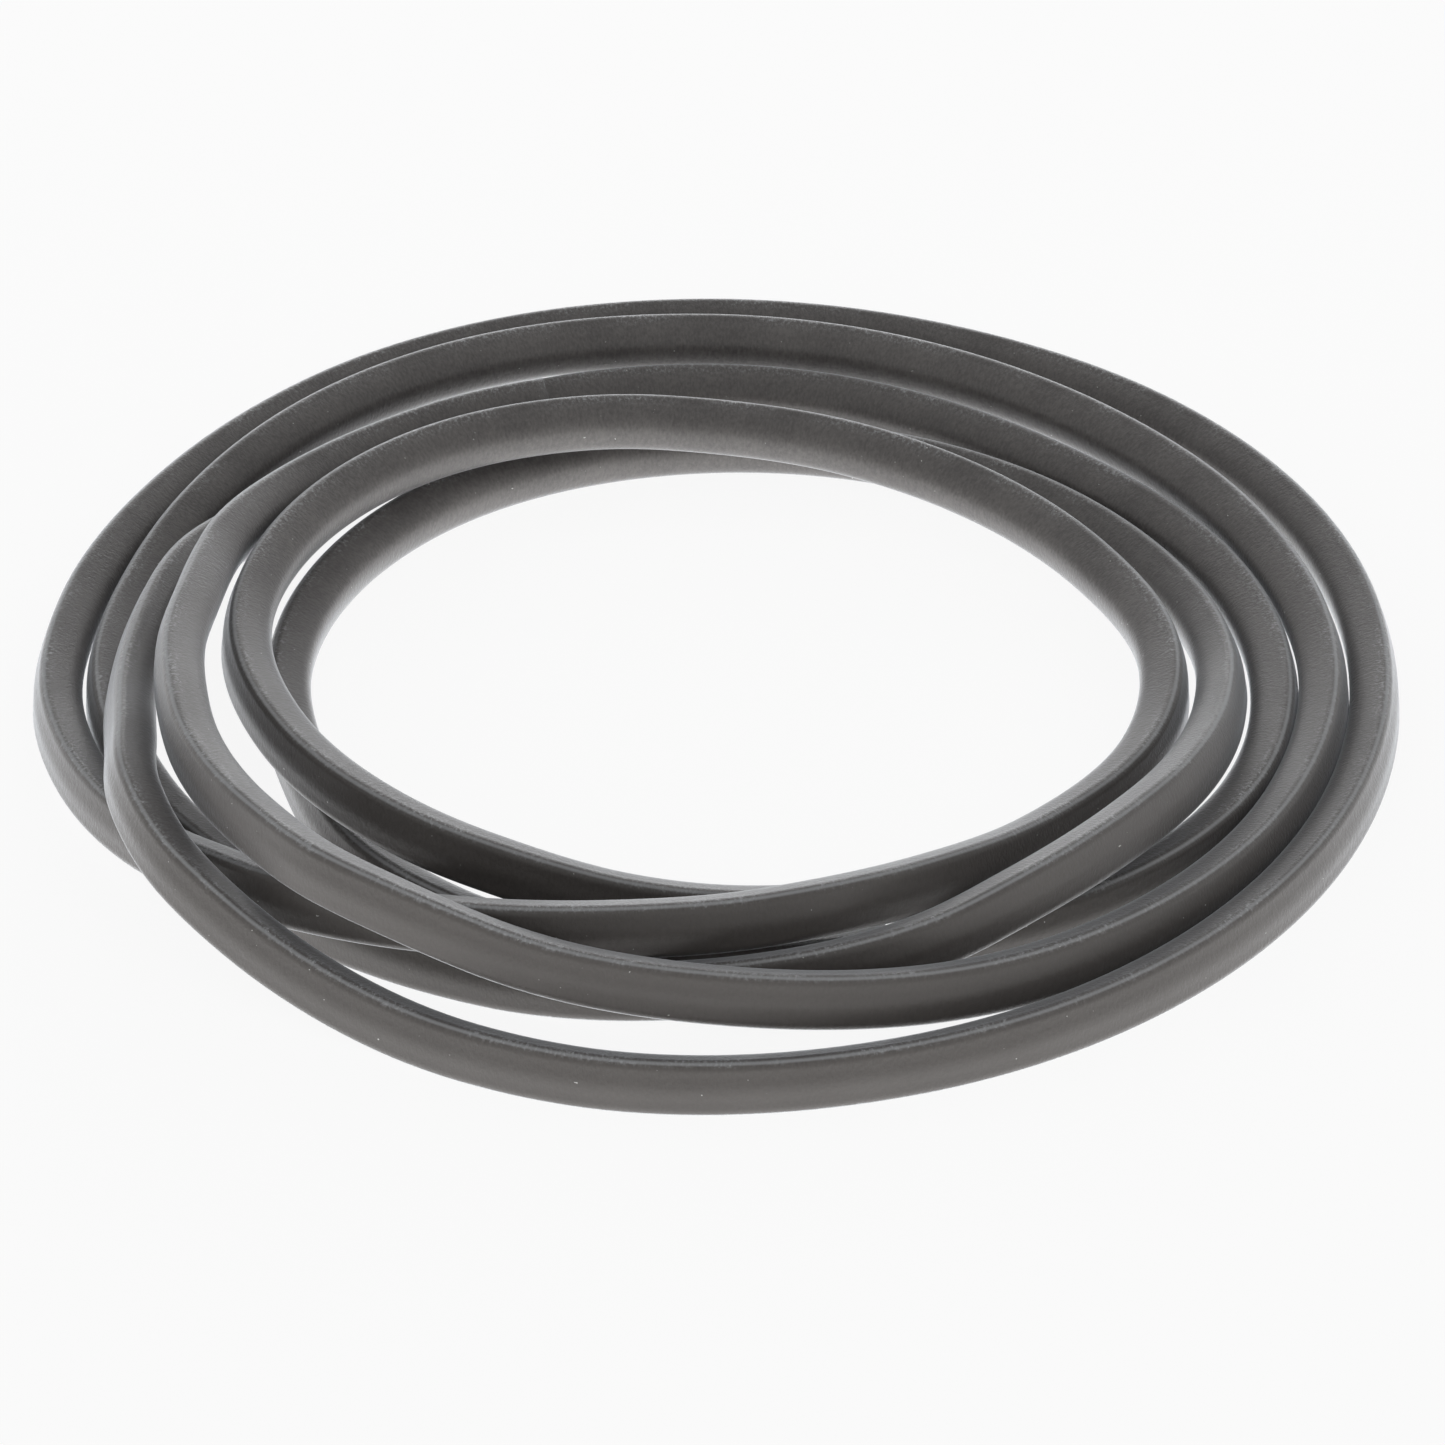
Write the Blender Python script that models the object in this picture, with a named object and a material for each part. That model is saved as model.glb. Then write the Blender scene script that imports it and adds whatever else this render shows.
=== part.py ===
# Open-ended wrapped V-belt lying as a loose coil, every layer of the belt its own solid.
# Metres, +Z up, origin at the middle of the coil's outline on the floor.
import math

import bpy
import bmesh
from mathutils import Vector
from mathutils.bvhtree import BVHTree

for old in list(bpy.data.objects):
    bpy.data.objects.remove(old, do_unlink=True)

# Belt section
TOP_WIDTH = 0.0125
BELT_HEIGHT = 0.009
WEDGE_ANGLE = math.radians(40.0)
BACK_CORNER = 0.0006
BASE_CORNER = 0.0017
BACK_STEPS = 1
BASE_STEPS = 2

# Layers, from the back of the belt to its base
COVER_THICKNESS = 0.0008
LAYER_CLEARANCE = 0.0003
OVERCORD_THICKNESS = 0.001
GUM_THICKNESS = 0.0005
CORD_DIAMETER = 0.001
CORD_COUNT = 5

# Coil
EYE_REACH = 0.075
RINGS_PER_TURN = 24
FIRST_END_ANGLE = 112.5
LAST_END_ANGLE = 2092.5
FLOOR_CUT = 0.00055
GAP_SAMPLES = 4

# Way of the belt from its upper cut end to its lower one.
# Each stop: heading round the coil in degrees, lanes out from the eye, layers up from the floor.
# A lane is one belt height and a layer is one belt width.
WAY = (
    # from the upper cut end round the left on top of the pile, over the front left, to the right
    (100, 2.36, 0.80),
    (120, 2.78, 0.82),
    (135, 3.10, 0.85),
    (150, 3.36, 1.02),
    (165, 3.57, 1.37),
    (180, 3.70, 1.64),
    (190, 4.09, 1.78),
    (200, 4.50, 1.90),
    (209, 4.96, 1.95),
    (217, 5.30, 2.00),
    (225, 5.56, 2.03),
    (232, 5.77, 2.02),
    (240, 5.60, 1.78),
    (250, 5.15, 1.22),
    (270, 5.20, 0.88),
    (297, 5.36, 0.43),
    (315, 5.41, 0.27),
    (338, 5.57, 0.16),
    # second round, down to the floor at the left
    (360, 5.69, 0.22),
    (382, 5.44, 0.30),
    (405, 5.23, 0.34),
    (450, 5.56, 0.39),
    (480, 5.76, 0.44),
    (500, 5.68, 0.40),
    (513, 5.70, 0.22),
    (525, 5.72, 0.04),
    (540, 5.76, 0.00),
    (560, 5.28, 0.00),
    (575, 4.78, 0.00),
    (590, 4.38, 0.00),
    (608, 4.00, 0.00),
    (628, 3.84, 0.25),
    (652, 4.00, 0.80),
    (663, 3.80, 1.02),
    (680, 3.56, 1.04),
    (690, 3.52, 0.94),
    (700, 3.43, 0.75),
    (710, 3.34, 0.50),
    (720, 3.30, 0.27),
    (732, 3.13, 0.10),
    (745, 2.84, 0.02),
    (760, 2.49, 0.00),
    (778, 2.09, 0.00),
    # third round, innermost at the back and the left
    (810, 1.60, 0.00),
    (855, 1.58, 0.00),
    (900, 1.67, 0.00),
    (920, 1.70, 0.00),
    (945, 2.30, 0.00),
    (970, 2.50, 0.00),
    (990, 2.52, 0.00),
    (1012, 2.83, 0.00),
    (1035, 3.78, 0.00),
    (1057, 4.48, 0.00),
    # fourth round, over the two outer lanes at the left
    (1080, 4.56, 0.00),
    (1100, 4.33, 0.00),
    (1125, 3.78, 0.00),
    (1170, 4.12, 0.00),
    (1195, 4.22, 0.00),
    (1210, 4.24, 0.00),
    (1222, 4.27, 0.08),
    (1233, 4.30, 0.30),
    (1245, 4.54, 0.71),
    (1260, 4.86, 0.94),
    (1271, 5.28, 1.07),
    (1281, 5.80, 1.36),
    (1289, 6.50, 1.52),
    (1298, 6.88, 1.24),
    (1307, 6.72, 0.68),
    (1320, 6.56, 0.12),
    (1340, 6.80, 0.00),
    (1365, 6.69, 0.00),
    (1395, 6.64, 0.00),
    (1420, 6.75, 0.00),
    # fifth round, outermost, then inward over the pile at the front
    (1440, 6.90, 0.00),
    (1462, 7.08, 0.00),
    (1485, 7.10, 0.00),
    (1505, 7.04, 0.00),
    (1530, 7.15, 0.00),
    (1552, 7.22, 0.00),
    (1565, 7.16, 0.00),
    (1575, 7.03, 0.00),
    (1590, 6.90, 0.00),
    (1610, 6.94, 0.00),
    (1625, 6.92, 0.00),
    (1632, 6.72, 0.03),
    (1641, 6.40, 0.13),
    (1649, 6.05, 0.28),
    (1658, 5.70, 0.61),
    (1665, 5.43, 0.79),
    (1672, 5.08, 0.94),
    (1685, 4.26, 1.06),
    (1700, 3.38, 1.08),
    (1712, 2.93, 1.08),
    (1722, 2.64, 1.08),
    (1735, 2.22, 0.91),
    (1755, 1.82, 0.53),
    (1778, 2.09, 0.48),
    # last round, innermost at the right, down to the lower cut end at the front
    (1800, 1.92, 0.48),
    (1822, 1.20, 0.52),
    (1845, 0.64, 0.64),
    (1870, 0.26, 0.86),
    (1890, 0.38, 0.96),
    (1910, 0.93, 1.05),
    (1935, 1.84, 1.05),
    (1960, 2.38, 1.04),
    (1980, 2.54, 1.02),
    (2001, 2.34, 1.06),
    (2022, 2.08, 1.05),
    (2031, 1.86, 0.94),
    (2041, 1.56, 0.77),
    (2056, 1.07, 0.36),
    (2076, 0.83, 0.07),
    (2100, 1.00, 0.00),
)

# Lean of the section, back turned upward, in degrees at headings along the belt
LEAN = (
    (100, 15), (150, 16), (172, 21), (190, 14), (206, 10), (225, 14), (290, 15),
    (345, 13), (360, 14), (450, 10), (540, 11), (600, 14), (680, 15), (720, 17),
    (810, 10), (900, 10), (960, 14), (1020, 14), (1045, 8), (1062, 5), (1080, 8),
    (1105, 13), (1180, 10), (1245, 18), (1262, 21), (1285, 16), (1310, 15), (1380, 15),
    (1440, 13), (1530, 9), (1620, 12), (1670, 13), (1750, 15), (1800, 11), (1900, 10),
    (1965, 16), (1996, 11), (2100, 14),
)


def smooth_value(stops, column, heading):
    """Cubic value between stops whose slopes are weighted by the spans on both sides."""
    last = len(stops) - 2
    index = 0
    while index < last and heading >= stops[index + 1][0]:
        index += 1

    def slope(k):
        rise = stops[k + 1][column] - stops[k][column]
        return rise / (stops[k + 1][0] - stops[k][0])

    def knot_slope(k):
        if k == 0:
            return slope(0)
        if k == len(stops) - 1:
            return slope(k - 1)
        before = stops[k][0] - stops[k - 1][0]
        after = stops[k + 1][0] - stops[k][0]
        return (slope(k - 1) * after + slope(k) * before) / (before + after)

    span = stops[index + 1][0] - stops[index][0]
    t = (heading - stops[index][0]) / span
    value = (2 * t ** 3 - 3 * t ** 2 + 1) * stops[index][column]
    value += (t ** 3 - 2 * t ** 2 + t) * span * knot_slope(index)
    value += (3 * t ** 2 - 2 * t ** 3) * stops[index + 1][column]
    value += (t ** 3 - t ** 2) * span * knot_slope(index + 1)
    return value


def straight_value(stops, heading):
    """Straight-line value between stops."""
    for (a, low), (b, high) in zip(stops, stops[1:]):
        if heading <= b:
            return low + (high - low) * (heading - a) / (b - a)
    return stops[-1][1]


HALF_WEDGE = WEDGE_ANGLE / 2
HALF_HEIGHT = BELT_HEIGHT / 2


def half_width(depth):
    """Half of the belt's width at a depth below its back."""
    return TOP_WIDTH / 2 - depth * math.tan(HALF_WEDGE)


def trapezoid(top, bottom, inset):
    """Four corners between two depths, drawn in from the flanks by an inset."""
    side = inset / math.cos(HALF_WEDGE)
    out = HALF_HEIGHT - top
    inner = HALF_HEIGHT - bottom
    wide = half_width(top) - side
    narrow = half_width(bottom) - side
    return [(out, wide), (out, -wide), (inner, -narrow), (inner, narrow)]


def corner_points(corners, k, cut, steps):
    """Arc across a corner, tangent to both sides a cut's length from it."""
    here = Vector(corners[k])
    before = (Vector(corners[k - 1]) - here).normalized()
    after = (Vector(corners[(k + 1) % len(corners)]) - here).normalized()
    half = before.angle(after) / 2
    middle = here + (before + after).normalized() * (cut / math.cos(half))
    start = here + before * cut - middle
    end = here + after * cut - middle
    radius = cut * math.tan(half)
    return [tuple(middle + start.lerp(end, s / steps).normalized() * radius) for s in range(steps + 1)]


# Sections in the belt's own plane: first towards the back, then across the width
CORNER_CUTS = [BACK_CORNER, BACK_CORNER, BASE_CORNER, BASE_CORNER]
CORNER_STEPS = [BACK_STEPS, BACK_STEPS, BASE_STEPS, BASE_STEPS]
belt_corners = trapezoid(0.0, BELT_HEIGHT, 0.0)
COVER_CORNERS = [corner_points(belt_corners, k, CORNER_CUTS[k], CORNER_STEPS[k]) for k in range(4)]
COVER_OUTLINE = [point for corner in COVER_CORNERS for point in corner]
COVER_BORE = trapezoid(COVER_THICKNESS, BELT_HEIGHT - COVER_THICKNESS, COVER_THICKNESS)
CORE_INSET = COVER_THICKNESS + LAYER_CLEARANCE

overcord_top = CORE_INSET
overcord_bottom = overcord_top + OVERCORD_THICKNESS
upper_gum_top = overcord_bottom + LAYER_CLEARANCE
upper_gum_bottom = upper_gum_top + GUM_THICKNESS
cord_line = upper_gum_bottom + LAYER_CLEARANCE + CORD_DIAMETER / 2
lower_gum_top = cord_line + CORD_DIAMETER / 2 + LAYER_CLEARANCE
lower_gum_bottom = lower_gum_top + GUM_THICKNESS
core_top = lower_gum_bottom + LAYER_CLEARANCE
core_bottom = BELT_HEIGHT - CORE_INSET

# Cords spread evenly between the flanks
cord_room = 2 * (half_width(cord_line) - CORE_INSET / math.cos(HALF_WEDGE))
cord_pitch = (cord_room - CORD_DIAMETER) / (CORD_COUNT - 1)


def cord_section(number):
    """Square on its corner, standing for one round cord."""
    across = (number - (CORD_COUNT - 1) / 2) * cord_pitch
    middle = HALF_HEIGHT - cord_line
    r = CORD_DIAMETER / 2
    return [(middle + r, across), (middle, across - r), (middle - r, across), (middle, across + r)]


# Rings along the way: a centre and two directions each
step = 360.0 / RINGS_PER_TURN
first_whole = math.floor(FIRST_END_ANGLE / step) + 1
last_whole = math.ceil(LAST_END_ANGLE / step) - 1
headings = [FIRST_END_ANGLE]
headings += [step * k for k in range(first_whole, last_whole + 1)]
headings.append(LAST_END_ANGLE)
ring_count = len(headings)


def floor_drop(lean):
    """Height of the section's middle above its lowest point at a lean."""
    return -min(out * math.sin(lean) + across * math.cos(lean) for out, across in COVER_OUTLINE)


def centre_at(heading):
    """Middle of the section at a heading."""
    lean = math.radians(straight_value(LEAN, heading))
    reach = EYE_REACH + smooth_value(WAY, 1, heading) * BELT_HEIGHT
    lift = max(0.0, smooth_value(WAY, 2, heading)) * TOP_WIDTH
    angle = math.radians(heading)
    height = lift + floor_drop(lean) - FLOOR_CUT
    return Vector((reach * math.cos(angle), reach * math.sin(angle), height))


def ring_at(heading):
    """Centre, direction of the back and direction across the width."""
    centre = centre_at(heading)
    along = (centre_at(heading + step / 2) - centre_at(heading - step / 2)).normalized()
    outward = Vector((along.y, -along.x, 0.0)).normalized()
    upward = outward.cross(along)
    lean = math.radians(straight_value(LEAN, heading))
    back = outward * math.cos(lean) + upward * math.sin(lean)
    across = upward * math.cos(lean) - outward * math.sin(lean)
    return centre, back, across


rings = [ring_at(h) for h in headings]


def placed(section):
    """The section's points on every ring, none below the floor."""
    rows = []
    for centre, back, across in rings:
        row = []
        for out, side in section:
            point = centre + back * out + across * side
            point.z = max(point.z, 0.0)
            row.append(point)
        rows.append(row)
    return rows


# The coil's outline is centred on the origin
outline_rows = placed(COVER_OUTLINE)
outline_points = [p for row in outline_rows for p in row]
mid_x = (min(p.x for p in outline_points) + max(p.x for p in outline_points)) / 2
mid_y = (min(p.y for p in outline_points) + max(p.y for p in outline_points)) / 2
shift = Vector((-mid_x, -mid_y, 0.0))
rings = [(centre + shift, back, across) for centre, back, across in rings]


def material(name, colour, roughness):
    """Plain rubber, cord or fabric surface."""
    made = bpy.data.materials.new(name)
    made.use_nodes = True
    shader = made.node_tree.nodes["Principled BSDF"]
    shader.inputs["Base Color"].default_value = (*colour, 1.0)
    shader.inputs["Roughness"].default_value = roughness
    shader.inputs["Metallic"].default_value = 0.0
    return made


def add_object(name, bm, surface):
    """Closed mesh with outward faces as one named object."""
    bmesh.ops.triangulate(bm, faces=bm.faces[:])
    bmesh.ops.recalc_face_normals(bm, faces=bm.faces[:])
    mesh = bpy.data.meshes.new(name)
    bm.to_mesh(mesh)
    bm.free()
    mesh.materials.append(surface)
    made = bpy.data.objects.new(name, mesh)
    bpy.context.scene.collection.objects.link(made)
    return made


def sweep_walls(bm, section):
    """Wall of triangles along the rings; facing layers share the way their diagonals run."""
    made = [[bm.verts.new(p) for p in row] for row in placed(section)]
    size = len(section)
    for low, high in zip(made, made[1:]):
        for k in range(size):
            n = (k + 1) % size
            if sum(section[k]) > sum(section[n]):
                bm.faces.new((low[k], low[n], high[n]))
                bm.faces.new((low[k], high[n], high[k]))
            else:
                bm.faces.new((low[k], low[n], high[k]))
                bm.faces.new((low[n], high[n], high[k]))
    return made


def solid_strip(name, section, surface):
    """A layer of the belt with a flat cut at both ends."""
    bm = bmesh.new()
    rows = sweep_walls(bm, section)
    bm.faces.new(rows[0])
    bm.faces.new(rows[-1])
    return add_object(name, bm, surface)


def hollow_strip(name, corners, bore, surface):
    """The cover: rounded corners outside and a bore from end to end."""
    bm = bmesh.new()
    outer = sweep_walls(bm, [point for corner in corners for point in corner])
    inner = sweep_walls(bm, bore)
    for skin, hole in ((outer[0], inner[0]), (outer[-1], inner[-1])):
        first = 0
        for k, corner in enumerate(corners):
            last = first + len(corner) - 1
            for m in range(first, last):
                bm.faces.new((skin[m], skin[m + 1], hole[k]))
            first = last + 1
            following = (k + 1) % len(hole)
            bm.faces.new((skin[last], skin[first % len(skin)], hole[following], hole[k]))
    return add_object(name, bm, surface)


cover_surface = material("rubberised_fabric", (0.075, 0.069, 0.067), 0.62)
overcord_surface = material("overcord_rubber_black", (0.030, 0.029, 0.029), 0.70)
gum_surface = material("adhesion_gum_brown_black", (0.050, 0.040, 0.034), 0.65)
cord_surface = material("polyester_cord_dipped", (0.340, 0.250, 0.170), 0.80)
core_surface = material("compression_rubber_black", (0.022, 0.022, 0.023), 0.72)

cover = hollow_strip("cover_jacket", COVER_CORNERS, COVER_BORE, cover_surface)
solid_strip("overcord_rubber", trapezoid(overcord_top, overcord_bottom, CORE_INSET), overcord_surface)
solid_strip("adhesion_gum_upper", trapezoid(upper_gum_top, upper_gum_bottom, CORE_INSET), gum_surface)
for number in range(CORD_COUNT):
    solid_strip(f"tensile_cord_{number + 1}", cord_section(number), cord_surface)
solid_strip("adhesion_gum_lower", trapezoid(lower_gum_top, lower_gum_bottom, CORE_INSET), gum_surface)
solid_strip("compression_rubber", trapezoid(core_top, core_bottom, CORE_INSET), core_surface)


def least_gap():
    """Least distance between half turns of the belt's outline that do not join."""
    rows = placed(COVER_OUTLINE)
    size = len(COVER_OUTLINE)
    half_turn = RINGS_PER_TURN // 2
    pieces = []
    for start in range(0, ring_count - 1, half_turn):
        part = rows[start:start + half_turn + 1]
        points = [p for row in part for p in row]
        faces = []
        for i in range(len(part) - 1):
            for k in range(size):
                n = (k + 1) % size
                a = i * size + k
                b = i * size + n
                faces.append((a, b, b + size))
                faces.append((a, b + size, a + size))
        samples = []
        for i in range(len(part) - 1):
            for k in range(size):
                for q in range(GAP_SAMPLES):
                    samples.append(part[i][k].lerp(part[i + 1][k], q / GAP_SAMPLES))
        pieces.append((BVHTree.FromPolygons(points, faces), samples))
    least = (BELT_HEIGHT, Vector())
    for i, (tree, _) in enumerate(pieces):
        for j, (_, samples) in enumerate(pieces):
            if abs(i - j) < 2:
                continue
            for point in samples:
                found = tree.find_nearest(point, BELT_HEIGHT)
                if found[0] is not None and found[3] < least[0]:
                    least = (found[3], point)
    return least


gap, where = least_gap()
length = sum((b[0] - a[0]).length for a, b in zip(rings, rings[1:]))
print(f"belt length {length:.3f} m over {ring_count} rings")
print(f"least gap of the belt to itself {gap:.5f} m at {tuple(round(c, 4) for c in where)}")
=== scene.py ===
import math

import bmesh
import bpy
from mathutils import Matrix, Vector


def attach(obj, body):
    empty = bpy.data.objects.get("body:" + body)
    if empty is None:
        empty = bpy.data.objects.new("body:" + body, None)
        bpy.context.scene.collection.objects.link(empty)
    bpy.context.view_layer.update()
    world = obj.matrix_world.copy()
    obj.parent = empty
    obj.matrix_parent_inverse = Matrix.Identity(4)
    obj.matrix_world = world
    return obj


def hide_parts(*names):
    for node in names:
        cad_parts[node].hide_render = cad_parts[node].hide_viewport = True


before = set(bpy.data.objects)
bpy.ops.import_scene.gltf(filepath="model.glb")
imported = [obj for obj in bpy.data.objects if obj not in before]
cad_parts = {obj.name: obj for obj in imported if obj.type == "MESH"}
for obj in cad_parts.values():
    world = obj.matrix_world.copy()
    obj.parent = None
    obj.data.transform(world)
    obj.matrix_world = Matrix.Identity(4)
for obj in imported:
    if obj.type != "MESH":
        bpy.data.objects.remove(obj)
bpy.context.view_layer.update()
scene = bpy.context.scene
scene.view_settings.view_transform = "Standard"
mm = 0.001
print("frame loaded")

camera = {
    "elevation": 35.0,
    "distance": 1.5,
    "target": Vector((1.27, -10.00, 0.0)) * mm,
    "focalPixels": 7200.0,
    "imagePixels": 1445.0,
    "sensor": 36.0,
    "farClip": 50.0,
}

camData = bpy.data.cameras.new("photoCamera")
camData.sensor_width = camera["sensor"]
camData.lens = camera["focalPixels"] / camera["imagePixels"] * camera["sensor"]
camData.clip_end = camera["farClip"]
camObject = bpy.data.objects.new("photoCamera", camData)
scene.collection.objects.link(camObject)
rise = math.radians(camera["elevation"])
sight = Vector((0.0, -math.cos(rise), math.sin(rise)))
camObject.location = camera["target"] + sight * camera["distance"]
camObject.rotation_euler = (math.pi / 2 - rise, 0.0, 0.0)
scene.camera = camObject
print("camera placed")

belt = {
    "topWidth": 12.5 * mm,
    "height": 9.0 * mm,
    "halfWedge": math.radians(20.0),
    "backCut": 0.6 * mm,  # cut of the solid's back corner, sets how low it lies
    "floorCut": 0.55 * mm,
    "eyeReach": 75.0 * mm,
    "centring": Vector((0.274, -1.399, 0.0)) * mm,
    "firstEnd": 112.5,
    "lastEnd": 2092.5,
    "ringStep": 1.5,  # degrees
}

# stops: heading in degrees, lanes out from the eye, layers up from the floor
way = (
    # from the upper cut end round the left on top of the pile, over the front left, to the right
    (100, 2.36, 0.80),
    (120, 2.78, 0.82),
    (135, 3.10, 0.85),
    (150, 3.36, 1.02),
    (165, 3.57, 1.37),
    (180, 3.70, 1.64),
    (190, 4.09, 1.78),
    (200, 4.50, 1.90),
    (209, 4.96, 1.95),
    (217, 5.30, 2.00),
    (225, 5.56, 2.03),
    (232, 5.77, 2.02),
    (240, 5.60, 1.78),
    (250, 5.15, 1.22),
    (270, 5.20, 0.88),
    (297, 5.36, 0.43),
    (315, 5.41, 0.27),
    (338, 5.57, 0.16),
    # second round, down to the floor at the left
    (360, 5.69, 0.22),
    (382, 5.44, 0.30),
    (405, 5.23, 0.34),
    (450, 5.56, 0.39),
    (480, 5.76, 0.44),
    (500, 5.68, 0.40),
    (513, 5.70, 0.22),
    (525, 5.72, 0.04),
    (540, 5.76, 0.00),
    (560, 5.28, 0.00),
    (575, 4.78, 0.00),
    (590, 4.38, 0.00),
    (608, 4.00, 0.00),
    (628, 3.84, 0.25),
    (652, 4.00, 0.80),
    (663, 3.80, 1.02),
    (680, 3.56, 1.04),
    (690, 3.52, 0.94),
    (700, 3.43, 0.75),
    (710, 3.34, 0.50),
    (720, 3.30, 0.27),
    (732, 3.13, 0.10),
    (745, 2.84, 0.02),
    (760, 2.49, 0.00),
    (778, 2.09, 0.00),
    # third round, innermost at the back and the left
    (810, 1.60, 0.00),
    (855, 1.58, 0.00),
    (900, 1.67, 0.00),
    (920, 1.70, 0.00),
    (945, 2.30, 0.00),
    (970, 2.50, 0.00),
    (990, 2.52, 0.00),
    (1012, 2.83, 0.00),
    (1035, 3.78, 0.00),
    (1057, 4.48, 0.00),
    # fourth round, over the two outer lanes at the left
    (1080, 4.56, 0.00),
    (1100, 4.33, 0.00),
    (1125, 3.78, 0.00),
    (1170, 4.12, 0.00),
    (1195, 4.22, 0.00),
    (1210, 4.24, 0.00),
    (1222, 4.27, 0.08),
    (1233, 4.30, 0.30),
    (1245, 4.54, 0.71),
    (1260, 4.86, 0.94),
    (1271, 5.28, 1.07),
    (1281, 5.80, 1.36),
    (1289, 6.50, 1.52),
    (1298, 6.88, 1.24),
    (1307, 6.72, 0.68),
    (1320, 6.56, 0.12),
    (1340, 6.80, 0.00),
    (1365, 6.69, 0.00),
    (1395, 6.64, 0.00),
    (1420, 6.75, 0.00),
    # fifth round, outermost, then inward over the pile at the front
    (1440, 6.90, 0.00),
    (1462, 7.08, 0.00),
    (1485, 7.10, 0.00),
    (1505, 7.04, 0.00),
    (1530, 7.15, 0.00),
    (1552, 7.22, 0.00),
    (1565, 7.16, 0.00),
    (1575, 7.03, 0.00),
    (1590, 6.90, 0.00),
    (1610, 6.94, 0.00),
    (1625, 6.92, 0.00),
    (1632, 6.72, 0.03),
    (1641, 6.40, 0.13),
    (1649, 6.05, 0.28),
    (1658, 5.70, 0.61),
    (1665, 5.43, 0.79),
    (1672, 5.08, 0.94),
    (1685, 4.26, 1.06),
    (1700, 3.38, 1.08),
    (1712, 2.93, 1.08),
    (1722, 2.64, 1.08),
    (1735, 2.22, 0.91),
    (1755, 1.82, 0.53),
    (1778, 2.09, 0.48),
    # last round, innermost at the right, down to the lower cut end at the front
    (1800, 1.92, 0.48),
    (1822, 1.20, 0.52),
    (1845, 0.64, 0.64),
    (1870, 0.26, 0.86),
    (1890, 0.38, 0.96),
    (1910, 0.93, 1.05),
    (1935, 1.84, 1.05),
    (1960, 2.38, 1.04),
    (1980, 2.54, 1.02),
    (2001, 2.34, 1.06),
    (2022, 2.08, 1.05),
    (2031, 1.86, 0.94),
    (2041, 1.56, 0.77),
    (2056, 1.07, 0.36),
    (2076, 0.83, 0.07),
    (2100, 1.00, 0.00),
)

# lean of the section, back turned upward, degrees
lean = (
    (100, 15), (150, 16), (172, 21), (190, 14), (206, 10), (225, 14), (290, 15),
    (345, 13), (360, 14), (450, 10), (540, 11), (600, 14), (680, 15), (720, 17),
    (810, 10), (900, 10), (960, 14), (1020, 14), (1045, 8), (1062, 5), (1080, 8),
    (1105, 13), (1180, 10), (1245, 18), (1262, 21), (1285, 16), (1310, 15), (1380, 15),
    (1440, 13), (1530, 9), (1620, 12), (1670, 13), (1750, 15), (1800, 11), (1900, 10),
    (1965, 16), (1996, 11), (2100, 14),
)


def smoothValue(stops, column, heading):
    last = len(stops) - 2
    index = 0
    while index < last and heading >= stops[index + 1][0]:
        index += 1

    def slope(k):
        return (stops[k + 1][column] - stops[k][column]) / (stops[k + 1][0] - stops[k][0])

    def knotSlope(k):
        if k == 0:
            return slope(0)
        if k == len(stops) - 1:
            return slope(k - 1)
        before = stops[k][0] - stops[k - 1][0]
        after = stops[k + 1][0] - stops[k][0]
        return (slope(k - 1) * after + slope(k) * before) / (before + after)

    span = stops[index + 1][0] - stops[index][0]
    t = (heading - stops[index][0]) / span
    value = (2 * t**3 - 3 * t**2 + 1) * stops[index][column]
    value += (t**3 - 2 * t**2 + t) * span * knotSlope(index)
    value += (3 * t**2 - 2 * t**3) * stops[index + 1][column]
    value += (t**3 - t**2) * span * knotSlope(index + 1)
    return value


def straightValue(stops, heading):
    for (a, low), (b, high) in zip(stops, stops[1:]):
        if heading <= b:
            return low + (high - low) * (heading - a) / (b - a)
    return stops[-1][1]


def centreAt(heading):
    tilt = math.radians(straightValue(lean, heading))
    lowOut = belt["height"] / 2 - belt["backCut"] * math.cos(belt["halfWedge"])
    lowAcross = belt["topWidth"] / 2 - belt["backCut"] * math.sin(belt["halfWedge"])
    drop = lowAcross * math.cos(tilt) - lowOut * math.sin(tilt)
    reach = belt["eyeReach"] + smoothValue(way, 1, heading) * belt["height"]
    lift = max(0.0, smoothValue(way, 2, heading)) * belt["topWidth"]
    angle = math.radians(heading)
    height = lift + drop - belt["floorCut"]
    return Vector((reach * math.cos(angle), reach * math.sin(angle), height)) + belt["centring"]


ringTotal = round((belt["lastEnd"] - belt["firstEnd"]) / belt["ringStep"])
headings = [belt["firstEnd"] + belt["ringStep"] * k for k in range(ringTotal + 1)]
route = [centreAt(h) for h in headings]


def toLinear(hexColour):
    parts = [int(hexColour[k : k + 2], 16) / 255 for k in (1, 3, 5)]
    return [c / 12.92 if c <= 0.04045 else ((c + 0.055) / 1.055) ** 2.4 for c in parts] + [1.0]


def addNode(tree, kind, inputs=None, **settings):
    node = tree.nodes.new(kind)
    for key, value in settings.items():
        setattr(node, key, value)
    for key, value in (inputs or {}).items():
        if isinstance(value, bpy.types.NodeSocket):
            tree.links.new(value, node.inputs[key])
        else:
            node.inputs[key].default_value = value
    return node


def linkPiece(name, mesh):
    piece = bpy.data.objects.new(name, mesh)
    scene.collection.objects.link(piece)
    return piece


def lineMesh(name, points, closed):
    mesh = bpy.data.meshes.new(name)
    edges = [(k, k + 1) for k in range(len(points) - 1)]
    if closed:
        edges.append((len(points) - 1, 0))
    mesh.from_pydata(points, edges, [])
    return mesh


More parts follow.
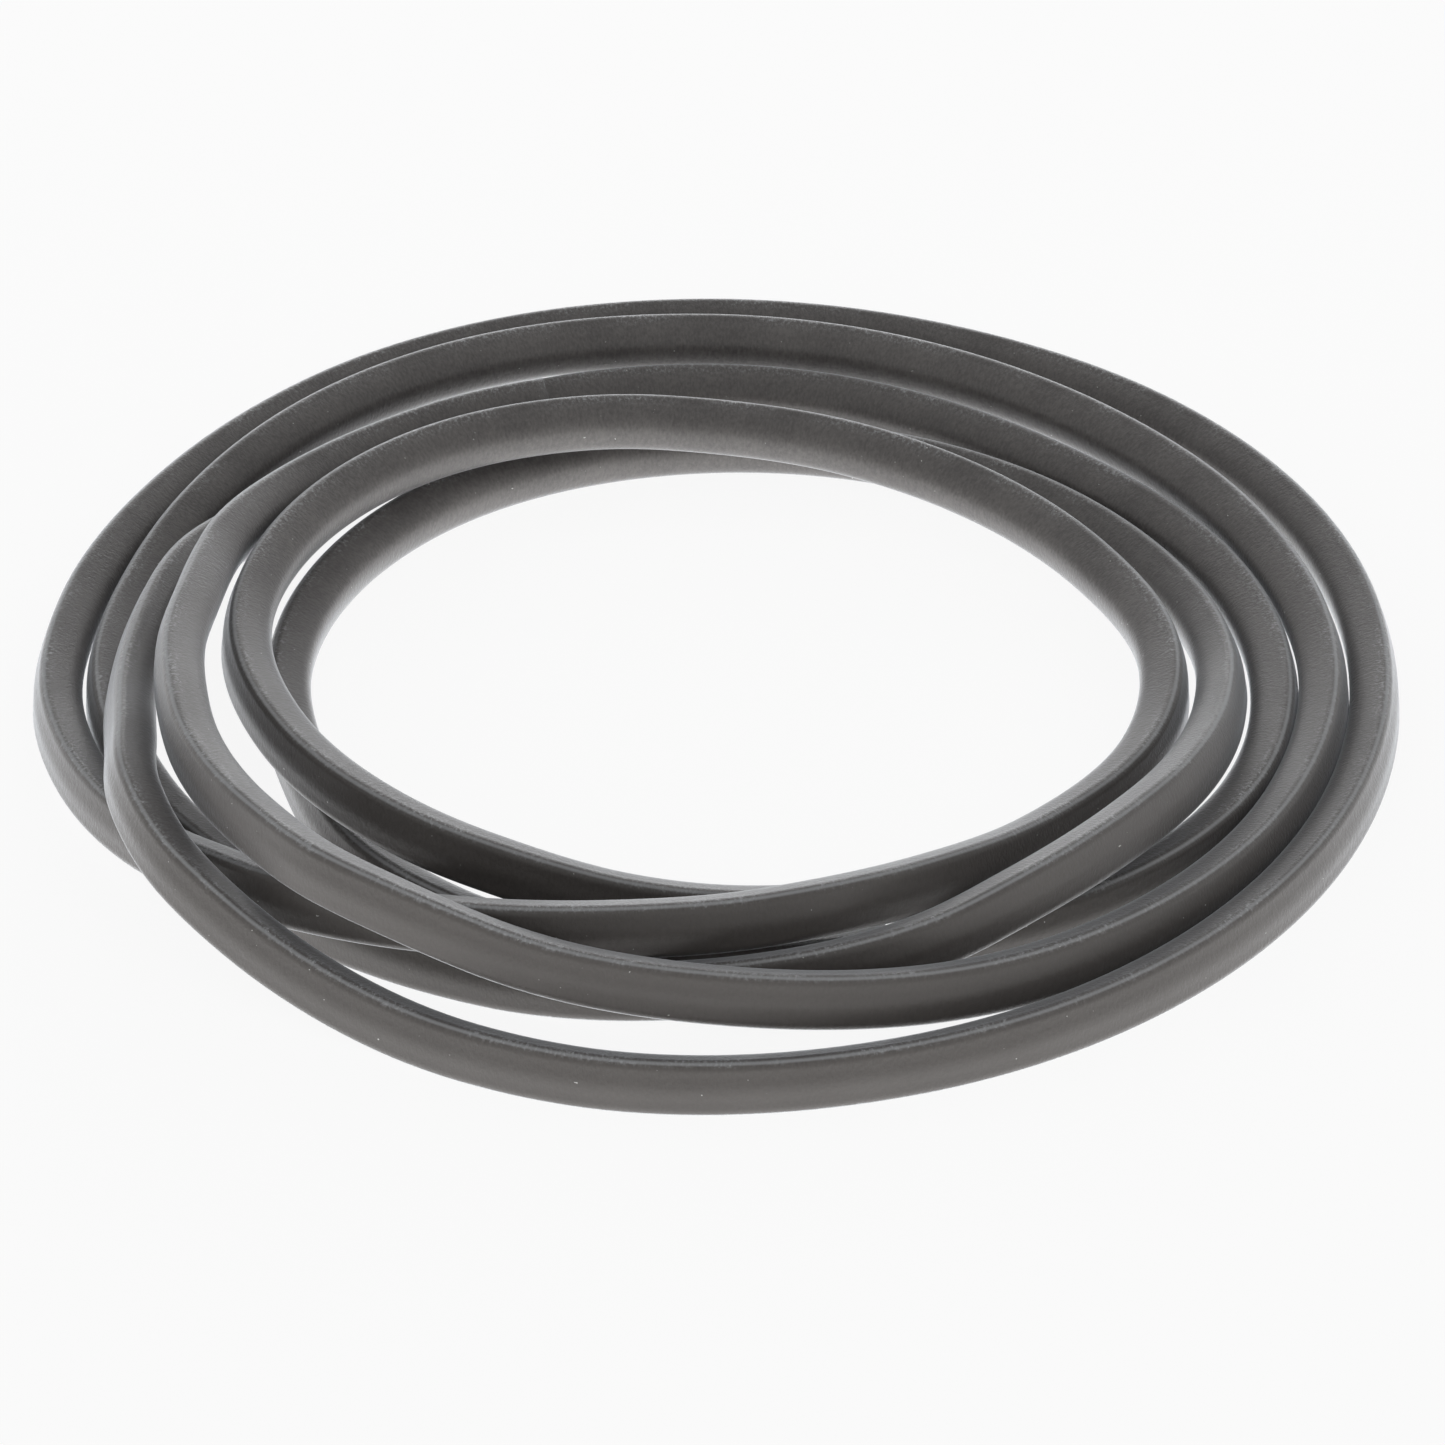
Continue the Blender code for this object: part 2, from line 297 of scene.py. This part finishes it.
def sweepTree():
    tree = bpy.data.node_groups.new("beltSweep", "GeometryNodeTree")
    for name, kind in (
        ("Route", "NodeSocketGeometry"),
        ("Section", "NodeSocketObject"),
        ("Bore", "NodeSocketObject"),
        ("Close Ends", "NodeSocketBool"),
        ("Surface", "NodeSocketMaterial"),
    ):
        tree.interface.new_socket(name, in_out="INPUT", socket_type=kind)
    tree.interface.new_socket("Strip", in_out="OUTPUT", socket_type="NodeSocketGeometry")
    given = tree.nodes.new("NodeGroupInput").outputs

    curve = addNode(tree, "GeometryNodeMeshToCurve", {"Mesh": given["Route"]})
    upright = addNode(tree, "GeometryNodeSetCurveNormal", {"Curve": curve.outputs[0]}, mode="Z_UP")
    tilt = addNode(tree, "GeometryNodeInputNamedAttribute", {"Name": "tilt"}, data_type="FLOAT")
    tilted = addNode(
        tree, "GeometryNodeSetCurveTilt", {"Curve": upright.outputs[0], "Tilt": tilt.outputs[0]}
    )
    lengthAlong = addNode(tree, "GeometryNodeSplineParameter")
    marked = addNode(
        tree,
        "GeometryNodeStoreNamedAttribute",
        {"Geometry": tilted.outputs[0], "Name": "along", "Value": lengthAlong.outputs["Length"]},
        data_type="FLOAT",
        domain="POINT",
    )

    def swept(sectionSocket, fill):
        shape = addNode(tree, "GeometryNodeObjectInfo", {"Object": sectionSocket})
        outline = addNode(tree, "GeometryNodeMeshToCurve", {"Mesh": shape.outputs["Geometry"]})
        place = addNode(tree, "GeometryNodeInputPosition")
        axes = addNode(tree, "ShaderNodeSeparateXYZ", {"Vector": place.outputs[0]})
        result = outline.outputs[0]
        for name, axis in (("outward", "X"), ("across", "Y")):
            stored = addNode(
                tree,
                "GeometryNodeStoreNamedAttribute",
                {"Geometry": result, "Name": name, "Value": axes.outputs[axis]},
                data_type="FLOAT",
                domain="POINT",
            )
            result = stored.outputs[0]
        return addNode(
            tree,
            "GeometryNodeCurveToMesh",
            {"Curve": marked.outputs[0], "Profile Curve": result, "Fill Caps": fill},
        ).outputs[0]

    skin = swept(given["Section"], given["Close Ends"])
    bore = addNode(tree, "GeometryNodeFlipFaces", {"Mesh": swept(given["Bore"], False)})
    both = addNode(tree, "GeometryNodeJoinGeometry")
    tree.links.new(bore.outputs[0], both.inputs[0])
    tree.links.new(skin, both.inputs[0])
    place = addNode(tree, "GeometryNodeInputPosition")
    axes = addNode(tree, "ShaderNodeSeparateXYZ", {"Vector": place.outputs[0]})
    # rubber that would reach below the floor lies flat on it
    onFloor = addNode(tree, "ShaderNodeMath", {0: axes.outputs["Z"], 1: 0.0}, operation="MAXIMUM")
    lifted = addNode(
        tree,
        "ShaderNodeCombineXYZ",
        {"X": axes.outputs["X"], "Y": axes.outputs["Y"], "Z": onFloor.outputs[0]},
    )
    rested = addNode(
        tree, "GeometryNodeSetPosition", {"Geometry": both.outputs[0], "Position": lifted.outputs[0]}
    )
    smooth = addNode(tree, "GeometryNodeSetShadeSmooth", {"Geometry": rested.outputs[0]})
    real = addNode(tree, "GeometryNodeRealizeInstances", {"Geometry": smooth.outputs[0]})
    dressed = addNode(
        tree, "GeometryNodeSetMaterial", {"Geometry": real.outputs[0], "Material": given["Surface"]}
    )
    tree.links.new(dressed.outputs[0], tree.nodes.new("NodeGroupOutput").inputs[0])
    return tree


beltSweep = sweepTree()
socketIds = {s.name: s.identifier for s in beltSweep.interface.items_tree if s.in_out == "INPUT"}


def sweptStrip(name, surface, section, bore=None, skip=1, stub=0.0):
    line = route[::skip]
    tiltValues = [-math.radians(straightValue(lean, h)) for h in headings[::skip]]
    if stub:
        line = [line[0] + (line[0] - line[1]).normalized() * stub, *line]
        line.append(line[-1] + (line[-1] - line[-2]).normalized() * stub)
        tiltValues = [tiltValues[0], *tiltValues, tiltValues[-1]]
    guideMesh = lineMesh(name + "Guide", line, False)
    tilts = guideMesh.attributes.new("tilt", "FLOAT", "POINT")
    tilts.data.foreach_set("value", tiltValues)
    guide = linkPiece(name + "Guide", guideMesh)
    shapes = []
    for label, outline in (("Section", section), ("Bore", bore)):
        if outline:
            flat = [(*p, 0.0) for p in outline]
            shapes.append(linkPiece(name + label, lineMesh(name + label, flat, True)))
    work = guide.modifiers.new("sweep", "NODES")
    work.node_group = beltSweep
    work[socketIds["Section"]] = shapes[0]
    work[socketIds["Bore"]] = shapes[1] if bore else None
    work[socketIds["Close Ends"]] = not bore
    work[socketIds["Surface"]] = surface
    guide.update_tag()
    bpy.context.view_layer.update()
    graph = bpy.context.evaluated_depsgraph_get()
    swept = guide.evaluated_get(graph)
    mesh = bpy.data.meshes.new_from_object(swept, preserve_all_data_layers=True, depsgraph=graph)
    mesh.name = name
    for helper in (guide, *shapes):
        bpy.data.objects.remove(helper, do_unlink=True)
    if bore:
        capEnds(mesh)
    return linkPiece(name, mesh)


def capEnds(mesh):
    bm = bmesh.new()
    bm.from_mesh(mesh)
    rim = [e for e in bm.edges if e.is_boundary]
    for end in (route[0], route[-1]):
        near = [e for e in rim if (e.verts[0].co - end).length < belt["topWidth"]]
        bmesh.ops.bridge_loops(bm, edges=near)
    bmesh.ops.recalc_face_normals(bm, faces=bm.faces[:])
    bm.to_mesh(mesh)
    bm.free()


def halfWidth(depth):
    return belt["topWidth"] / 2 - depth * math.tan(belt["halfWedge"])


def trapezoid(top, bottom, inset=0.0):
    side = inset / math.cos(belt["halfWedge"])
    outTop = belt["height"] / 2 - top
    outBottom = belt["height"] / 2 - bottom
    wide = halfWidth(top) - side
    narrow = halfWidth(bottom) - side
    return [(outTop, wide), (outTop, -wide), (outBottom, -narrow), (outBottom, narrow)]


cover = {
    "wall": 0.9 * mm,
    "baseWall": 1.1 * mm,
    "backRound": 2.0 * mm,
    "backCrown": 0.4 * mm,
    "cornerSwell": (0.1 * mm, 0.3 * mm),
    "flankPull": 5.6 * mm,  # how far each flank runs on before it turns in
    "flankSwell": math.radians(14.0),  # bent rubber bulges at the flanks
    "basePull": 3.8 * mm,
    "baseCrown": 0.6 * mm,
    "backSteps": 4,
    "cornerSteps": 8,
    "flankSteps": 14,
}


def coverSection():
    wedge = belt["halfWedge"]
    edge = Vector((belt["height"] / 2, belt["topWidth"] / 2)) + Vector(cover["cornerSwell"])
    run = cover["backRound"] / math.tan((math.pi / 2 - wedge) / 2)
    middle = edge - Vector((cover["backRound"], run))
    flat = edge.y - run
    upper = []
    for k in range(cover["backSteps"]):
        share = k / cover["backSteps"]
        crown = cover["backCrown"] * (1 + math.cos(math.pi * share)) / 2
        upper.append(Vector((edge.x + crown, flat * share)))
    for k in range(cover["cornerSteps"] + 1):
        turn = (math.pi / 2 + wedge) * k / cover["cornerSteps"]
        upper.append(middle + Vector((math.cos(turn), math.sin(turn))) * cover["backRound"])
    start = upper[-1]
    end = Vector((-belt["height"] / 2 - cover["baseCrown"], 0.0))
    heading = wedge - cover["flankSwell"]
    leave = start - Vector((math.cos(heading), math.sin(heading))) * cover["flankPull"]
    arrive = end + Vector((0.0, cover["basePull"]))
    for k in range(1, cover["flankSteps"] + 1):
        t = k / cover["flankSteps"]
        near = start * (1 - t) ** 3 + leave * (3 * t * (1 - t) ** 2)
        upper.append(near + arrive * (3 * t**2 * (1 - t)) + end * t**3)
    lower = [Vector((p.x, -p.y)) for p in reversed(upper[1:-1])]
    return [tuple(p) for p in upper + lower]


coverOutline = coverSection()
coverBore = trapezoid(cover["wall"], belt["height"] - cover["baseWall"], cover["wall"])


def surfaceTree(name):
    material = bpy.data.materials.new(name)
    material.use_nodes = True
    tree = material.node_tree
    return material, tree, tree.nodes["Principled BSDF"]


wrap = {
    "face": "#4b4847",
    "worn": "#615e5c",
    "back": "#46423f",
    # worn thread colour, also used for the painted highlight along the back corners
    "edge": "#9fa1a3",
    "speck": "#d0d1ce",
    "fuzz": "#e2e7ee",
    # cells per mm along, across and outward, then detail and roughness
    "noises": {
        "grain": ((1.7, 0.9, 0.9), 3.0, 0.6),  # fabric, about 0.6 x 1.1 mm
        "patch": ((0.08, 0.08, 0.08), 3.0, 0.5),  # handling marks, about 12 mm
        "crease": ((1.5, 1.1, 1.1), 4.0, 0.7),  # threads at the corners, just under 1 mm
        "dust": ((1.1, 1.1, 1.1), 1.0, 0.5),
    },
    "patchWear": 0.3,
    "grainWear": 0.7,
    # where along a line or a noise each share goes from none to all
    "shares": {
        "rubbed": ("wear", 0.36, 0.64),
        "backFace": ("outward", 3.7 * mm, 4.5 * mm),
        "flankEdge": ("side", 4.3 * mm, 5.2 * mm),
        "upperFlank": ("outward", 0.0 * mm, 3.2 * mm),
        "underBack": ("outward", 4.5 * mm, 4.0 * mm),
        # the next two bound a band round each back corner that takes a painted highlight
        "highlightFoot": ("outward", 3.2 * mm, 3.6 * mm),
        "highlightTop": ("outward", 4.15 * mm, 3.85 * mm),
        "torn": ("crease", 0.50, 0.66),
        "wornPlaces": ("patch", 0.36, 0.56),
        "dustSpeck": ("dust", 0.795, 0.815),
    },
    "products": {
        "corner": ("flankEdge", "upperFlank", "underBack"),
        "wornThreads": ("corner", "torn", "wornPlaces"),
        # painted highlight band along each back corner
        "paintedCornerHighlight": ("highlightFoot", "highlightTop"),
    },
    # laid over the face one after another: share, strength, colour
    "coats": (
        ("rubbed", 1.0, "worn"),
        ("backFace", 0.75, "back"),
        ("wornThreads", 0.9, "edge"),
        # painted highlight along the back corners
        ("paintedCornerHighlight", 0.6, "edge"),
        ("dustSpeck", 0.7, "speck"),
    ),
    "grainSpan": (0.3, 0.7),
    "roughness": (0.40, 0.54),
    "specular": 0.5,
    "sheen": 0.75,
    "sheenRoughness": 0.36,
    "grainHeight": 0.6,
    "foldHeight": 0.8,
    "bump": 0.8,
    "bumpDepth": 0.25 * mm,
}


def wrapMaterial():
    # cured wrap: matt dark grey cloth, pale where its threads wear at the back corners, with a painted
    # highlight band along each back corner
    material, tree, shader = surfaceTree("rubberisedCottonWrapCured")
    lines = {}
    for name in ("along", "across", "outward"):
        lines[name] = addNode(tree, "ShaderNodeAttribute", attribute_name=name).outputs["Fac"]
    place = addNode(tree, "ShaderNodeCombineXYZ", dict(zip("XYZ", lines.values()))).outputs[0]
    lines["side"] = addNode(tree, "ShaderNodeMath", {0: lines["across"]}, operation="ABSOLUTE").outputs[0]
    for name, (perMm, detail, roughness) in wrap["noises"].items():
        spread = addNode(
            tree, "ShaderNodeVectorMath", {0: place, 1: [k / mm for k in perMm]}, operation="MULTIPLY"
        )
        noise = addNode(
            tree,
            "ShaderNodeTexNoise",
            {"Vector": spread.outputs[0], "Scale": 1.0, "Detail": detail, "Roughness": roughness},
        )
        lines[name] = noise.outputs["Fac"]
    patchWear = addNode(
        tree, "ShaderNodeMath", {0: lines["patch"], 1: wrap["patchWear"]}, operation="MULTIPLY"
    )
    wear = addNode(
        tree,
        "ShaderNodeMath",
        {0: lines["grain"], 1: wrap["grainWear"], 2: patchWear.outputs[0]},
        operation="MULTIPLY_ADD",
    )
    lines["wear"] = wear.outputs[0]
    for name, (line, low, high) in wrap["shares"].items():
        share = addNode(tree, "ShaderNodeMapRange", {"Value": lines[line], "From Min": low, "From Max": high})
        lines[name] = share.outputs[0]
    for name, (first, *others) in wrap["products"].items():
        lines[name] = lines[first]
        for other in others:
            product = addNode(tree, "ShaderNodeMath", {0: lines[name], 1: lines[other]}, operation="MULTIPLY")
            lines[name] = product.outputs[0]
    tone = toLinear(wrap["face"])
    for name, strength, colour in wrap["coats"]:
        laid = addNode(tree, "ShaderNodeMath", {0: lines[name], 1: strength}, operation="MULTIPLY")
        mixed = addNode(
            tree,
            "ShaderNodeMix",
            {0: laid.outputs[0], 6: tone, 7: toLinear(wrap[colour])},
            data_type="RGBA",
        )
        tone = mixed.outputs[2]
    tree.links.new(tone, shader.inputs["Base Color"])
    rough = addNode(
        tree,
        "ShaderNodeMapRange",
        {
            "Value": lines["grain"],
            "From Min": wrap["grainSpan"][0],
            "From Max": wrap["grainSpan"][1],
            "To Min": wrap["roughness"][0],
            "To Max": wrap["roughness"][1],
        },
    )
    tree.links.new(rough.outputs[0], shader.inputs["Roughness"])
    shader.inputs["Specular IOR Level"].default_value = wrap["specular"]
    shader.inputs["Sheen Weight"].default_value = wrap["sheen"]  # cotton fuzz pales the rims
    shader.inputs["Sheen Roughness"].default_value = wrap["sheenRoughness"]
    shader.inputs["Sheen Tint"].default_value = toLinear(wrap["fuzz"])
    foldDepth = addNode(
        tree, "ShaderNodeMath", {0: lines["corner"], 1: wrap["foldHeight"]}, operation="MULTIPLY"
    )
    folds = addNode(
        tree, "ShaderNodeMath", {0: lines["crease"], 1: foldDepth.outputs[0]}, operation="MULTIPLY"
    )
    height = addNode(
        tree,
        "ShaderNodeMath",
        {0: lines["grain"], 1: wrap["grainHeight"], 2: folds.outputs[0]},
        operation="MULTIPLY_ADD",
    )
    bump = addNode(
        tree,
        "ShaderNodeBump",
        {"Strength": wrap["bump"], "Distance": wrap["bumpDepth"], "Height": height.outputs[0]},
    )
    tree.links.new(bump.outputs[0], shader.inputs["Normal"])
    return material


def fitPiece(piece, node):
    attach(piece, "root")
    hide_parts(node)


coverPiece = sweptStrip("beltCover", wrapMaterial(), coverOutline, coverBore)
fitPiece(coverPiece, "cover_jacket")
print("cover", len(coverPiece.data.polygons), "faces")

layers = {
    "edge": cover["wall"] + 0.02 * mm,  # depths below the back, layers fill the bore
    "baseEdge": cover["baseWall"] + 0.02 * mm,
    "overcordEnd": 2.25 * mm,
    "cordLine": 3.7 * mm,
    "gumEnd": 5.15 * mm,
    "cordDiameter": 1.0 * mm,
    "cordCount": 5,
    "cordPitch": 1.615 * mm,
    "cordSides": 10,
    "cordStub": 0.15 * mm,
    "ringSkip": 2,
    # low and high colour, cells per mm, roughness
    "overcord": ("#2d2c2c", "#3b3a3a", 1.8, 0.75),
    "gum": ("#3a322d", "#4a4039", 1.4, 0.7),
    "compression": ("#262626", "#353434", 1.6, 0.78),
    "yarn": ("#8f7a5f", "#bca98a", 4.0, 0.85),
    "grainSpan": (0.35, 0.65),
    "bump": 0.5,
    "bumpDepth": 0.1 * mm,
}


def layerMaterial(name, low, high, perMm, roughness):
    material, tree, shader = surfaceTree(name)
    place = addNode(tree, "ShaderNodeTexCoord").outputs["Object"]
    grain = addNode(tree, "ShaderNodeTexNoise", {"Vector": place, "Scale": perMm / mm, "Detail": 4.0})
    first, last = layers["grainSpan"]
    share = addNode(
        tree, "ShaderNodeMapRange", {"Value": grain.outputs["Fac"], "From Min": first, "From Max": last}
    )
    tone = addNode(
        tree,
        "ShaderNodeMix",
        {0: share.outputs[0], 6: toLinear(low), 7: toLinear(high)},
        data_type="RGBA",
    )
    tree.links.new(tone.outputs[2], shader.inputs["Base Color"])
    shader.inputs["Roughness"].default_value = roughness
    bump = addNode(
        tree,
        "ShaderNodeBump",
        {"Strength": layers["bump"], "Distance": layers["bumpDepth"], "Height": grain.outputs["Fac"]},
    )
    tree.links.new(bump.outputs[0], shader.inputs["Normal"])
    return material


finishes = {
    "overcord_rubber": layerMaterial("overcordRubberCut", *layers["overcord"]),  # dull black cut face
    "adhesion_gum": layerMaterial("adhesionGumPressed", *layers["gum"]),  # browner than the rubber
    "compression_rubber": layerMaterial("compressionRubberCut", *layers["compression"]),  # blackest
    "polyester_cord": layerMaterial("polyesterCordDipped", *layers["yarn"]),  # dull tan dots at the ends
}
strips = (
    ("overcordLayer", "overcord_rubber", "overcord_rubber"),
    ("gumLayerUpper", "adhesion_gum_upper", "adhesion_gum"),
    ("gumLayerLower", "adhesion_gum_lower", "adhesion_gum"),
    ("compressionLayer", "compression_rubber", "compression_rubber"),
)
depths = [layers[name] for name in ("edge", "overcordEnd", "cordLine", "gumEnd")]
depths.append(belt["height"] - layers["baseEdge"])
for (name, node, slotName), top, bottom in zip(strips, depths, depths[1:]):
    section = trapezoid(top, bottom, layers["edge"])
    piece = sweptStrip(name, finishes[slotName], section, skip=layers["ringSkip"])
    fitPiece(piece, node)
cordOut = belt["height"] / 2 - layers["cordLine"]
cordRadius = layers["cordDiameter"] / 2
cordTurns = [2 * math.pi * k / layers["cordSides"] for k in range(layers["cordSides"])]
for number in range(layers["cordCount"]):
    across = (number - (layers["cordCount"] - 1) / 2) * layers["cordPitch"]
    section = [(cordOut + cordRadius * math.cos(a), across + cordRadius * math.sin(a)) for a in cordTurns]
    piece = sweptStrip(
        f"tensileCord{number + 1}",
        finishes["polyester_cord"],
        section,
        skip=layers["ringSkip"],
        stub=layers["cordStub"],
    )
    fitPiece(piece, f"tensile_cord_{number + 1}")

floor = {
    "half": 30.0,
    "drop": 0.02 * mm,
    "colour": "#f4f4f4",
    "glow": 0.90,  # the rest takes the shadow
    "tableLight": 2.2,  # what the belt gets from below
}


def floorMaterial():
    material, tree, shader = surfaceTree("paleLightTable")  # lit opal sheet: plain white with a faint shadow
    shader.inputs["Base Color"].default_value = toLinear(floor["colour"])
    shader.inputs["Roughness"].default_value = 0.9
    shader.inputs["Specular IOR Level"].default_value = 0.1
    path = addNode(tree, "ShaderNodeLightPath")
    level = addNode(
        tree,
        "ShaderNodeMapRange",
        {"Value": path.outputs["Is Camera Ray"], "To Min": floor["tableLight"], "To Max": 1.0},
    )
    glow = addNode(tree, "ShaderNodeEmission", {"Strength": level.outputs[0]})
    mixed = addNode(
        tree, "ShaderNodeMixShader", {0: floor["glow"], 1: shader.outputs[0], 2: glow.outputs[0]}
    )
    tree.links.new(mixed.outputs[0], tree.nodes["Material Output"].inputs["Surface"])
    return material


floorMesh = bpy.data.meshes.new("studioFloor")
half = floor["half"]
corners = [(x * half, y * half, -floor["drop"]) for x, y in ((-1, -1), (1, -1), (1, 1), (-1, 1))]
floorMesh.from_pydata(corners, [], [(0, 1, 2, 3)])
floorMesh.materials.append(floorMaterial())
floorPiece = linkPiece("studioFloor", floorMesh)

studio = {
    "wall": 0.8,
    "ceiling": 0.5,
    "ceilingFrom": 0.7,
    "frontShare": 1.2,
    "frontFrom": -0.7,
    "lampSize": 0.7,
    "lampReach": 1.1,
    "lampRise": 0.2,
    # heading in degrees, watts
    "lamps": {"leftSoftbox": (180.0, 0.4), "rightSoftbox": (0.0, 0.4), "backSoftbox": (90.0, 4.0)},
}
world = bpy.data.worlds.new("studioWorld")
scene.world = world
world.use_nodes = True
worldTree = world.node_tree
background = worldTree.nodes["Background"]
background.inputs["Color"].default_value = (1.0, 1.0, 1.0, 1.0)
aim = addNode(worldTree, "ShaderNodeTexCoord")
axes = addNode(worldTree, "ShaderNodeSeparateXYZ", {"Vector": aim.outputs["Generated"]})
upward = addNode(
    worldTree,
    "ShaderNodeMapRange",
    {
        "Value": axes.outputs["Z"],
        "From Max": studio["ceilingFrom"],
        "To Min": studio["wall"],
        "To Max": studio["ceiling"],
    },
)
rearward = addNode(
    worldTree,
    "ShaderNodeMapRange",
    {
        "Value": axes.outputs["Y"],
        "From Min": studio["frontFrom"],
        "From Max": 0.0,
        "To Min": studio["frontShare"],
        "To Max": 1.0,
    },
)
strength = addNode(
    worldTree, "ShaderNodeMath", {0: upward.outputs[0], 1: rearward.outputs[0]}, operation="MULTIPLY"
)
worldTree.links.new(strength.outputs[0], background.inputs["Strength"])
for name, (turn, power) in studio["lamps"].items():
    lampData = bpy.data.lights.new(name, "AREA")
    lampData.energy = power
    lampData.size = studio["lampSize"]
    lamp = bpy.data.objects.new(name, lampData)
    angle = math.radians(turn)
    reach = studio["lampReach"]
    lamp.location = (reach * math.cos(angle), reach * math.sin(angle), studio["lampRise"])
    lamp.rotation_euler = lamp.location.to_track_quat("Z", "Y").to_euler()
    scene.collection.objects.link(lamp)
print("studio lit")
